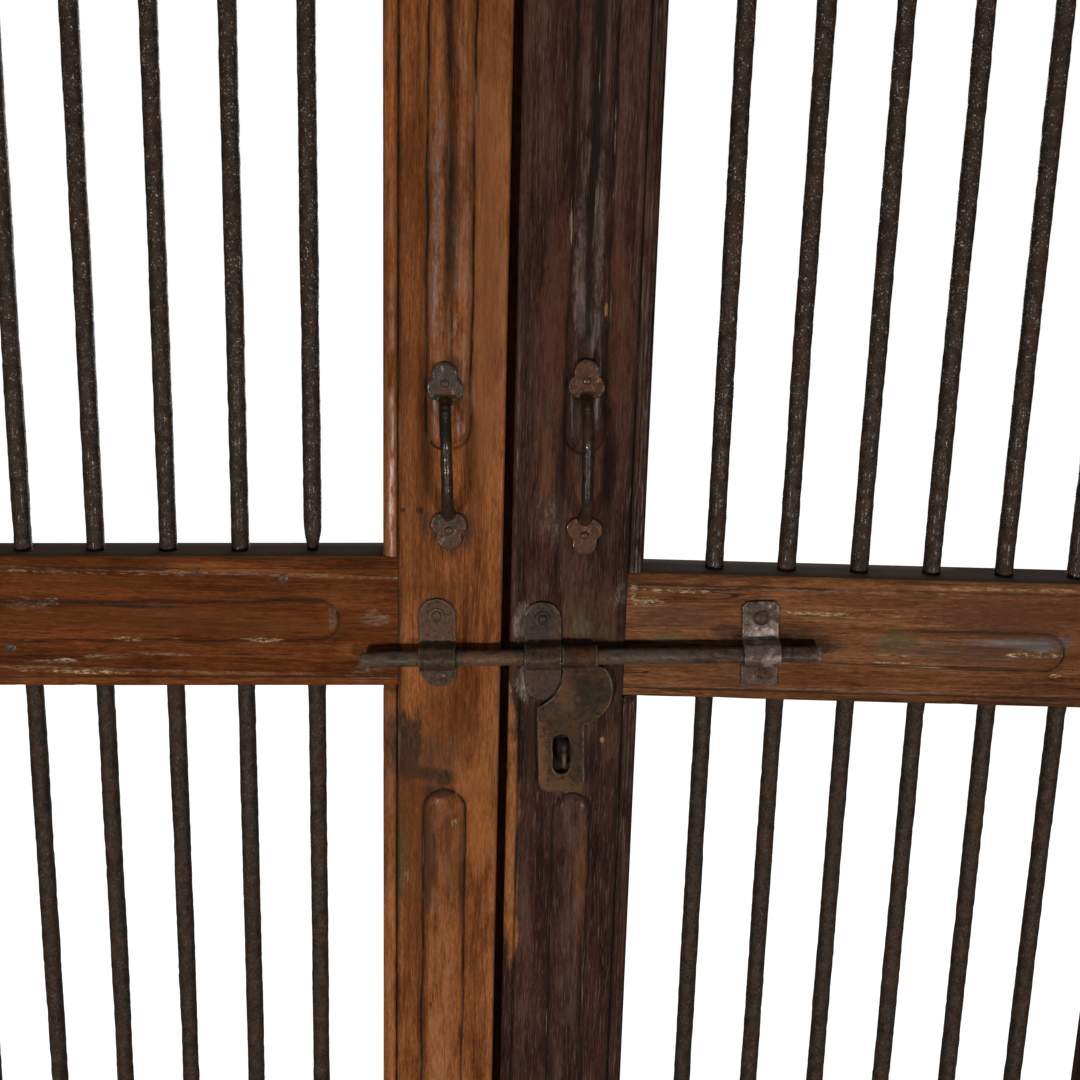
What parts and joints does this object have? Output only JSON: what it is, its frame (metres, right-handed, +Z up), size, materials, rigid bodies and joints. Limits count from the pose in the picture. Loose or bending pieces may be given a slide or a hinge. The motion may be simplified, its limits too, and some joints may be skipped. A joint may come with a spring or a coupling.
{
  "type": "pair of barred doors",
  "caption": "Pair of framed timber doors filled with upright round iron bars, hung on butt hinges, with pull handles and a sliding bolt whose hasp drops over a padlock eye.",
  "frame": {"origin": "on the ground under the middle of the pair: halfway across the width, halfway through the depth, at the foot of the leaves", "axes": "+Z up the doors, +X to the right seen from the front, the front with the bolt and handles faces -Y"},
  "size_m": [1.2296, 0.0952, 2.03],
  "materials": {
    "warm_teak": "old oiled teak, orange brown, worn and dirty in the grooves",
    "brown_teak": "old oiled teak, mid brown with dark streaks and flecks of cream paint",
    "dark_teak": "old teak, nearly black brown with grime",
    "bar_iron": "hammered and pitted wrought iron, brown black",
    "dark_iron": "forged wrought iron, rubbed smooth, brown black with rust",
    "worn_iron": "forged strap worn to grey metal",
    "hasp_iron": "plate iron with brown rust patina"
  },
  "bodies": {
    "jamb_plates": {"left_bottom_hinge_jamb_plate": "dark_iron", "left_bottom_hinge_pin": "dark_iron", "left_top_hinge_jamb_plate": "dark_iron", "left_top_hinge_pin": "dark_iron", "right_bottom_hinge_jamb_plate": "dark_iron", "right_bottom_hinge_pin": "dark_iron", "right_top_hinge_jamb_plate": "dark_iron", "right_top_hinge_pin": "dark_iron"},
    "left_leaf": {"left_hanging_stile": "warm_teak", "left_meeting_stile": "warm_teak", "left_top_rail": "warm_teak", "left_lock_rail": "warm_teak", "left_bottom_rail": "warm_teak", "left_upper_bar_1": "bar_iron", "left_upper_bar_2": "bar_iron", "left_upper_bar_3": "bar_iron", "left_upper_bar_4": "bar_iron", "left_upper_bar_5": "bar_iron", "left_upper_bar_6": "bar_iron", "left_lower_bar_1": "bar_iron", "left_lower_bar_2": "bar_iron", "left_lower_bar_3": "bar_iron", "left_lower_bar_4": "bar_iron", "left_lower_bar_5": "bar_iron", "left_lower_bar_6": "bar_iron", "left_handle": "dark_iron", "left_staple": "dark_iron", "left_staple_bolt": "dark_iron", "cover_strip": "warm_teak", "left_bottom_hinge_door_plate": "dark_iron", "left_top_hinge_door_plate": "dark_iron"},
    "right_leaf": {"right_hanging_stile": "dark_teak", "right_meeting_stile": "dark_teak", "right_top_rail": "brown_teak", "right_lock_rail": "brown_teak", "right_bottom_rail": "brown_teak", "right_upper_bar_1": "bar_iron", "right_upper_bar_2": "bar_iron", "right_upper_bar_3": "bar_iron", "right_upper_bar_4": "bar_iron", "right_upper_bar_5": "bar_iron", "right_upper_bar_6": "bar_iron", "right_lower_bar_1": "bar_iron", "right_lower_bar_2": "bar_iron", "right_lower_bar_3": "bar_iron", "right_lower_bar_4": "bar_iron", "right_lower_bar_5": "bar_iron", "right_lower_bar_6": "bar_iron", "right_handle": "dark_iron", "middle_staple": "dark_iron", "middle_staple_bolt": "dark_iron", "right_staple": "worn_iron", "right_staple_bolt": "dark_iron", "padlock_eye": "dark_iron", "right_bottom_hinge_door_plate": "dark_iron", "right_top_hinge_door_plate": "dark_iron"},
    "bolt": {"bolt": "dark_iron"},
    "hasp": {"hasp": "hasp_iron"}
  },
  "joints": [
    {"name": "left_swing", "type": "hinge", "parent": "jamb_plates", "child": "left_leaf", "pos_m": [-0.6086, -0.01615, 0], "axis": [0, 0, -1], "range_deg": [0, 90]},
    {"name": "right_swing", "type": "hinge", "parent": "jamb_plates", "child": "right_leaf", "pos_m": [0.6086, -0.01615, 0], "axis": [0, 0, 1], "range_deg": [0, 90]},
    {"name": "bolt_slide", "type": "slide", "parent": "right_leaf", "child": "bolt", "axis": [0.9992, 0, 0.0396], "range_m": [0, 0.1142]},
    {"name": "hasp_lift", "type": "hinge", "parent": "bolt", "child": "hasp", "pos_m": [0, -0.01915, 0.9632], "axis": [-0.9992, 0, -0.0396], "range_deg": [0, 180]}
  ],
  "couplings": [
    {"joint": "hasp_lift", "follows": "bolt_slide", "rad_per_m": 27.509}
  ]
}
